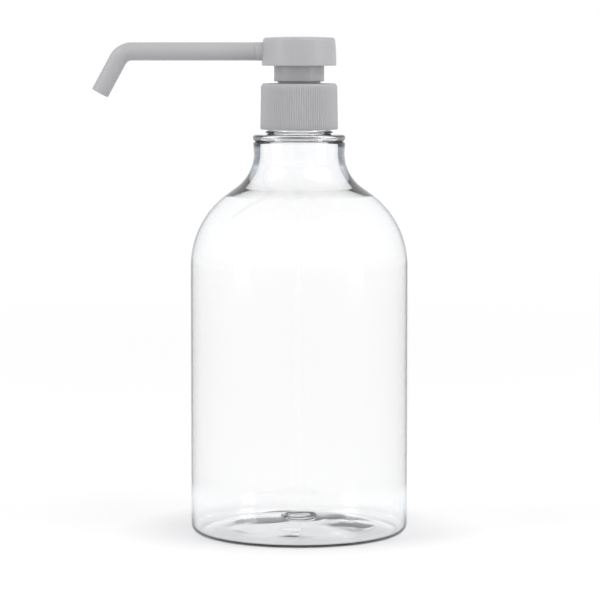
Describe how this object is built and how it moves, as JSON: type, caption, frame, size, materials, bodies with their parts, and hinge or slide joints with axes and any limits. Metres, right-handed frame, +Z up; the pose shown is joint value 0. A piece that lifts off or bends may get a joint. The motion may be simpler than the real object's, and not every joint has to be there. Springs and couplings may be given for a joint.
{
  "type": "pump bottle",
  "caption": "Clear round bottle with a ribbed screw closure and a locked-down dispensing pump whose long straight spout bends down at its tip.",
  "frame": {"origin": "on the surface the bottle stands on, under the middle of the whole outline, which is 17.2 mm from the bottle's axis towards the spout", "axes": "+Z up along the bottle, the spout points along -X, and +Y points away from the viewer"},
  "size_m": [0.1115, 0.077, 0.176],
  "materials": {
    "bottle": "clear, glossy, faintly cool",
    "closure": "satin grey with fine ribs",
    "gasket": "matt white foamed sheet",
    "housing": "natural translucent white",
    "valve_balls": "polished steel",
    "dip_tube": "clear, glossy",
    "collar": "satin grey",
    "spring": "drawn wire",
    "piston_rod": "natural translucent white",
    "piston": "soft waxy white",
    "stem": "natural translucent white",
    "head": "satin grey",
    "spout": "satin grey"
  },
  "bodies": {
    "bottle": {"bottle": "bottle"},
    "pump_frame": {"housing": "housing", "collar": "collar", "gasket": "gasket", "dip_tube": "dip_tube", "spring": "spring"},
    "closure": {"closure": "closure"},
    "piston": {"piston": "piston"},
    "plunger": {"piston_rod": "piston_rod", "stem": "stem", "head": "head", "spout": "spout"},
    "suction_ball": {"suction_ball": "valve_balls"},
    "outlet_ball": {"outlet_ball": "valve_balls"}
  },
  "joints": [
    {"name": "pump_lift", "type": "slide", "parent": "bottle", "child": "pump_frame", "axis": [0, 0, 1], "range_m": [0, 0.00476]},
    {"name": "closure_turn", "type": "hinge", "parent": "pump_frame", "child": "closure", "pos_m": [0.01717, 0, 0], "axis": [0, 0, 1], "range_deg": [0, 540]},
    {"name": "head_stroke", "type": "slide", "parent": "pump_frame", "child": "piston", "axis": [0, 0, 1], "range_m": [0, 0.0065], "deforming": ["spring"]},
    {"name": "head_swivel", "type": "hinge", "parent": "piston", "child": "plunger", "pos_m": [0.01717, 0, 0], "axis": [0, 0, 1], "continuous": true},
    {"name": "suction_ball_lift", "type": "slide", "parent": "pump_frame", "child": "suction_ball", "axis": [0, 0, 1], "range_m": [0, 0.0007]},
    {"name": "outlet_ball_lift", "type": "slide", "parent": "plunger", "child": "outlet_ball", "axis": [0, 0, 1], "range_m": [0, 0.0008]}
  ],
  "couplings": [
    {"joint": "closure_turn", "follows": "pump_lift", "rad_per_m": 1979}
  ]
}
